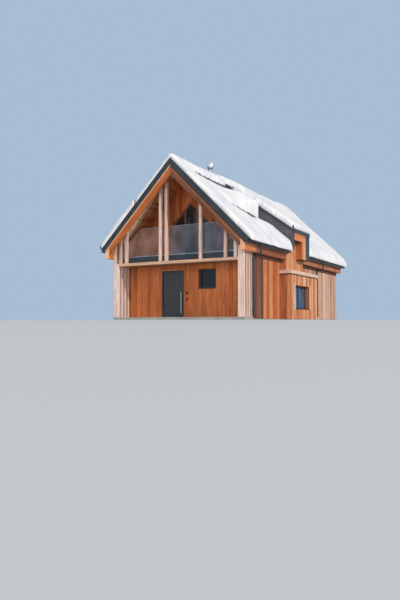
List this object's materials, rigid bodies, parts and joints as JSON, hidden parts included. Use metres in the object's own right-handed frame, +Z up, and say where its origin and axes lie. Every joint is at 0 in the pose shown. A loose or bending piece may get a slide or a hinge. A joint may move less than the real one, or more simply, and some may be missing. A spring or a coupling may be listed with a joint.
{
  "type": "alpine chalet",
  "caption": "Two-storey timber chalet with a steep gable roof, a glazed loggia behind posts, a bay and a wall dormer.",
  "frame": {"origin": "middle of the house's plan at ground level, on the underside of the floor slab", "axes": "+Z up, +Y from the front gable to the rear along the ridge, +X to the right seen from the front"},
  "size_m": [7.6352, 13.4, 7.6156],
  "materials": {
    "concrete": "smooth grey concrete",
    "larch_boards": "oiled larch boards, upright",
    "pale_larch": "planed pale larch",
    "weathered_larch": "sun-bleached larch boards",
    "soffit_boards": "oiled larch lining boards",
    "dark_metal": "matt anthracite sheet metal",
    "door_paint": "matt anthracite door leaf",
    "steel": "brushed stainless steel",
    "slate": "dark slate-grey standing-seam metal",
    "window_frame": "matt dark window frame",
    "timber_frame": "oiled timber window frame",
    "clear_glass": "clear glass",
    "floor_timber": "timber floor build-up",
    "flue_metal": "stainless flue",
    "black_fitting": "black plastic housing",
    "snow": "settled snow"
  },
  "bodies": {
    "house": {"floor_slab": "concrete", "left_wall": "larch_boards", "right_wall_front": "larch_boards", "right_wall_rear": "weathered_larch", "right_wall_over_bay": "larch_boards", "bay_front_wall": "larch_boards", "bay_side_walls": "larch_boards", "bay_roof": "pale_larch", "rear_wall": "larch_boards", "entrance_wall_left": "larch_boards", "entrance_wall_right": "larch_boards", "entrance_wall_over": "larch_boards", "door_frame": "window_frame", "ground_windows": "window_frame", "ground_window_glass": "clear_glass", "upper_floor": "floor_timber", "floor_beam": "pale_larch", "balcony_upstand": "dark_metal", "balcony_glass": "clear_glass", "front_posts": "pale_larch", "barge_boards": "soffit_boards", "left_screen": "pale_larch", "right_screen": "pale_larch", "gable_wall": "larch_boards", "gable_window": "timber_frame", "gable_glass": "clear_glass", "left_roof": "slate", "right_roof_front": "slate", "right_roof_rear": "slate", "roof_lining": "soffit_boards", "verge_trims": "dark_metal", "eave_boxes": "soffit_boards", "gutters": "dark_metal", "downpipes": "dark_metal", "dormer_cheeks": "slate", "dormer_roof": "slate", "dormer_front": "larch_boards", "dormer_hood": "soffit_boards", "rear_window": "window_frame", "rear_window_glass": "clear_glass", "flue": "flue_metal", "wall_fixtures": "black_fitting", "gable_lamp": "black_fitting", "snow_left": "snow", "snow_right": "snow"},
    "door": {"entrance_door": "door_paint", "door_pull": "steel"}
  },
  "joints": [
    {"name": "door_swing", "type": "hinge", "parent": "house", "child": "door", "pos_m": [-1.184, -5.287, 0.12], "axis": [0, 0, 1], "range_deg": [0, 90]}
  ]
}
